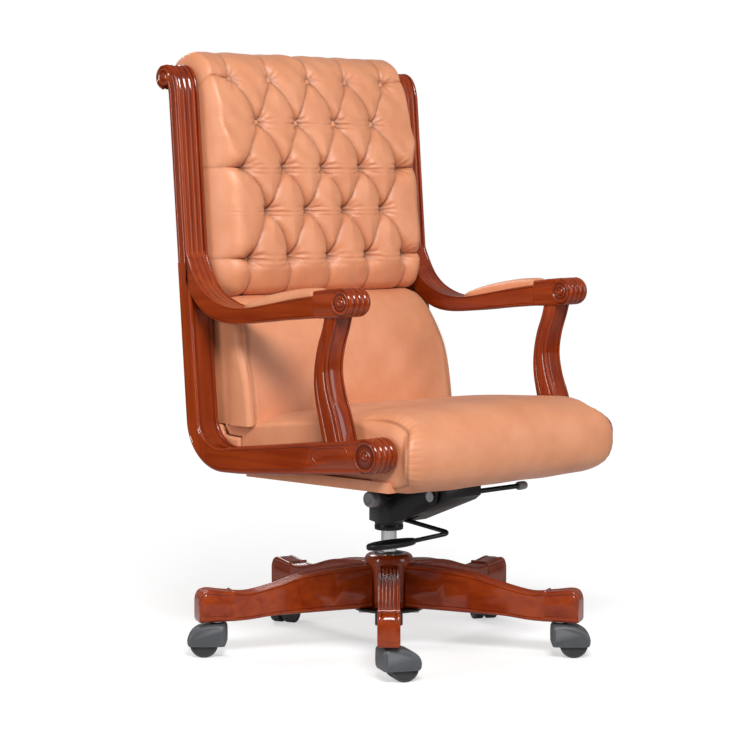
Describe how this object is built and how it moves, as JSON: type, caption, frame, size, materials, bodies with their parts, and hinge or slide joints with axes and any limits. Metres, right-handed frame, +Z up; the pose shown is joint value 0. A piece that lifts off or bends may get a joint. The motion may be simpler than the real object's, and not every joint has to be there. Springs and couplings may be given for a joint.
{
  "type": "swivel office chair",
  "caption": "High-backed wooden-framed swivel office chair with tufted leather back, padded arms, knee tilt, gas lift and a star base on twin-wheel casters.",
  "frame": {"origin": "on the floor under the swivel axis", "axes": "+Z up, -Y the way the sitter faces, +X the sitter's left"},
  "size_m": [0.6995, 0.6961, 1.064],
  "materials": {
    "mahogany": "gloss",
    "leather": "satin",
    "plywood": "matte",
    "black_steel": "satin",
    "bright_steel": "satin",
    "dark_steel": "satin",
    "chrome": "polished",
    "grey_plastic": "satin",
    "wheel_plastic": "satin",
    "black_plastic": "satin"
  },
  "bodies": {
    "base": {"base_hub": "mahogany", "base_leg_1": "mahogany", "base_leg_2": "mahogany", "base_leg_3": "mahogany", "base_leg_4": "mahogany", "base_leg_5": "mahogany", "hub_base_plate": "black_steel", "leg_bolts": "bright_steel", "lift_outer_tube": "black_steel", "lift_guide_bush": "black_plastic", "caster_sockets": "bright_steel"},
    "spindle": {"lift_rod": "bright_steel"},
    "column": {"lift_cylinder": "chrome", "tilt_housing": "black_steel", "pivot_shaft": "bright_steel", "tilt_spring": "bright_steel"},
    "valve_button": {"valve_button": "bright_steel"},
    "height_lever": {"height_lever": "black_steel"},
    "tension_knob": {"tension_knob": "grey_plastic"},
    "lock_lever": {"lock_lever": "black_steel"},
    "seat": {"seat_plate": "black_steel", "seat_bolts": "bright_steel", "seat_board": "plywood", "seat_cushion": "leather", "back_board": "plywood", "back_panel": "leather", "cross_rails": "plywood", "back_cushion": "leather", "back_buttons": "leather", "lumbar_cushion": "leather", "left_side_rail": "mahogany", "left_back_stile": "mahogany", "left_armrest": "mahogany", "left_arm_post": "mahogany", "left_arm_pad": "leather", "right_side_rail": "mahogany", "right_back_stile": "mahogany", "right_armrest": "mahogany", "right_arm_post": "mahogany", "right_arm_pad": "leather"},
    "caster_1": {"caster_hood_1": "grey_plastic", "caster_pins_1": "dark_steel"},
    "wheel_left_1": {"caster_wheel_left_1": "wheel_plastic"},
    "wheel_right_1": {"caster_wheel_right_1": "wheel_plastic"},
    "caster_2": {"caster_hood_2": "grey_plastic", "caster_pins_2": "dark_steel"},
    "wheel_left_2": {"caster_wheel_left_2": "wheel_plastic"},
    "wheel_right_2": {"caster_wheel_right_2": "wheel_plastic"},
    "caster_3": {"caster_hood_3": "grey_plastic", "caster_pins_3": "dark_steel"},
    "wheel_left_3": {"caster_wheel_left_3": "wheel_plastic"},
    "wheel_right_3": {"caster_wheel_right_3": "wheel_plastic"},
    "caster_4": {"caster_hood_4": "grey_plastic", "caster_pins_4": "dark_steel"},
    "wheel_left_4": {"caster_wheel_left_4": "wheel_plastic"},
    "wheel_right_4": {"caster_wheel_right_4": "wheel_plastic"},
    "caster_5": {"caster_hood_5": "grey_plastic", "caster_pins_5": "dark_steel"},
    "wheel_left_5": {"caster_wheel_left_5": "wheel_plastic"},
    "wheel_right_5": {"caster_wheel_right_5": "wheel_plastic"}
  },
  "joints": [
    {"name": "seat_swivel", "type": "hinge", "parent": "base", "child": "spindle", "pos_m": [0, 0, 0.11], "axis": [0, 0, 1], "continuous": true},
    {"name": "seat_lift", "type": "slide", "parent": "spindle", "child": "column", "axis": [0, 0, 1], "range_m": [0, 0.075]},
    {"name": "seat_tilt", "type": "hinge", "parent": "column", "child": "seat", "pos_m": [0, -0.15, 0.288], "axis": [-1, 0, 0], "range_deg": [0, 12], "stiffness_Nm_per_rad": 220, "springref_deg": -25.78},
    {"name": "height_lever_lift", "type": "hinge", "parent": "column", "child": "height_lever", "pos_m": [-0.015, -0.059, 0.234], "axis": [0, 0.9935, 0.1142], "range_deg": [0, 8], "stiffness_Nm_per_rad": 2, "springref_deg": -11.46},
    {"name": "valve_press", "type": "slide", "parent": "column", "child": "valve_button", "axis": [0, 0, -1], "range_m": [0, 0.0025]},
    {"name": "tension_turn", "type": "hinge", "parent": "column", "child": "tension_knob", "pos_m": [-0.075, -0.036, 0.276], "axis": [-1, 0, 0], "range_deg": [-720, 720]},
    {"name": "lock_pull", "type": "slide", "parent": "column", "child": "lock_lever", "axis": [1, 0, 0], "range_m": [0, 0.012]},
    {"name": "caster_swivel_1", "type": "hinge", "parent": "base", "child": "caster_1", "pos_m": [-0.22875, -0.2209, 0.07], "axis": [0, 0, 1], "continuous": true},
    {"name": "wheel_left_roll_1", "type": "hinge", "parent": "caster_1", "child": "wheel_left_1", "pos_m": [-0.20933, -0.23123, 0.025], "axis": [0.4695, 0.8829, 0], "continuous": true},
    {"name": "wheel_right_roll_1", "type": "hinge", "parent": "caster_1", "child": "wheel_right_1", "pos_m": [-0.20933, -0.23123, 0.025], "axis": [0.4695, 0.8829, 0], "continuous": true},
    {"name": "caster_swivel_2", "type": "hinge", "parent": "base", "child": "caster_2", "pos_m": [0.1394, -0.28582, 0.07], "axis": [0, 0, 1], "continuous": true},
    {"name": "wheel_left_roll_2", "type": "hinge", "parent": "caster_2", "child": "wheel_left_2", "pos_m": [0.15468, -0.30164, 0.025], "axis": [0.7193, 0.6947, 0], "continuous": true},
    {"name": "wheel_right_roll_2", "type": "hinge", "parent": "caster_2", "child": "wheel_right_2", "pos_m": [0.15468, -0.30164, 0.025], "axis": [0.7193, 0.6947, 0], "continuous": true},
    {"name": "caster_swivel_3", "type": "hinge", "parent": "base", "child": "caster_3", "pos_m": [0.3149, 0.04426, 0.07], "axis": [0, 0, 1], "continuous": true},
    {"name": "wheel_left_roll_3", "type": "hinge", "parent": "caster_3", "child": "wheel_left_3", "pos_m": [0.32591, 0.06331, 0.025], "axis": [-0.866, 0.5, 0], "continuous": true},
    {"name": "wheel_right_roll_3", "type": "hinge", "parent": "caster_3", "child": "wheel_right_3", "pos_m": [0.32591, 0.06331, 0.025], "axis": [-0.866, 0.5, 0], "continuous": true},
    {"name": "caster_swivel_4", "type": "hinge", "parent": "base", "child": "caster_4", "pos_m": [0.05522, 0.31317, 0.07], "axis": [0, 0, 1], "continuous": true},
    {"name": "wheel_left_roll_4", "type": "hinge", "parent": "caster_4", "child": "wheel_left_4", "pos_m": [0.03455, 0.30564, 0.025], "axis": [0.342, -0.9397, 0], "continuous": true},
    {"name": "wheel_right_roll_4", "type": "hinge", "parent": "caster_4", "child": "wheel_right_4", "pos_m": [0.03455, 0.30564, 0.025], "axis": [0.342, -0.9397, 0], "continuous": true},
    {"name": "caster_swivel_5", "type": "hinge", "parent": "base", "child": "caster_5", "pos_m": [-0.28078, 0.14929, 0.07], "axis": [0, 0, 1], "continuous": true},
    {"name": "wheel_left_roll_5", "type": "hinge", "parent": "caster_5", "child": "wheel_left_5", "pos_m": [-0.29606, 0.16512, 0.025], "axis": [-0.7193, -0.6947, 0], "continuous": true},
    {"name": "wheel_right_roll_5", "type": "hinge", "parent": "caster_5", "child": "wheel_right_5", "pos_m": [-0.29606, 0.16512, 0.025], "axis": [-0.7193, -0.6947, 0], "continuous": true}
  ],
  "couplings": [
    {"joint": "valve_press", "follows": "height_lever_lift", "m_per_rad": 0.0165}
  ]
}
